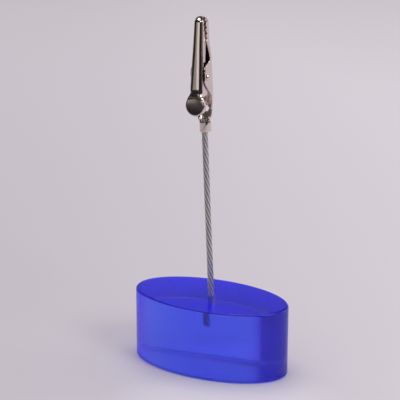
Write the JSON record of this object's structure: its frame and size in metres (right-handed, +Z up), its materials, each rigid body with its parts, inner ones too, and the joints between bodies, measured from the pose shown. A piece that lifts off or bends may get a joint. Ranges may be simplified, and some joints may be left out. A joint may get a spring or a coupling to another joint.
{
  "type": "memo holder",
  "caption": "Desk memo holder: a toothed spring clip crimped on a leaning wire rope stem that stands in a heavy oval block of clear blue resin.",
  "frame": {"origin": "centre of the oval block's underside, on the surface that it stands on", "axes": "+Z up; X along the block's length, with the stem leaning towards -X; -Y is the side of the clip's thumb pad"},
  "size_m": [0.064, 0.0332, 0.1395],
  "materials": {
    "resin": "polished clear resin, dyed blue",
    "rope_steel": "bright drawn wire",
    "nickel": "nickel-plated, polished",
    "spring_steel": "drawn spring wire"
  },
  "bodies": {
    "stand": {"base_block": "resin", "rope_core_strand": "rope_steel", "rope_strand_1": "rope_steel", "rope_strand_2": "rope_steel", "rope_strand_3": "rope_steel", "rope_strand_4": "rope_steel", "rope_strand_5": "rope_steel", "rope_strand_6": "rope_steel", "crimp_jaw": "nickel", "pivot_rivet": "nickel", "torsion_spring": "spring_steel"},
    "thumb": {"thumb_jaw": "nickel"}
  },
  "joints": [
    {"name": "jaw_hinge", "type": "hinge", "parent": "stand", "child": "thumb", "pos_m": [-0.00385, -0.0019, 0.11682], "axis": [0.999, 0, 0.0436], "range_deg": [0, 24], "stiffness_Nm_per_rad": 0.02, "springref_deg": -28.65, "deforming": ["torsion_spring"]}
  ]
}
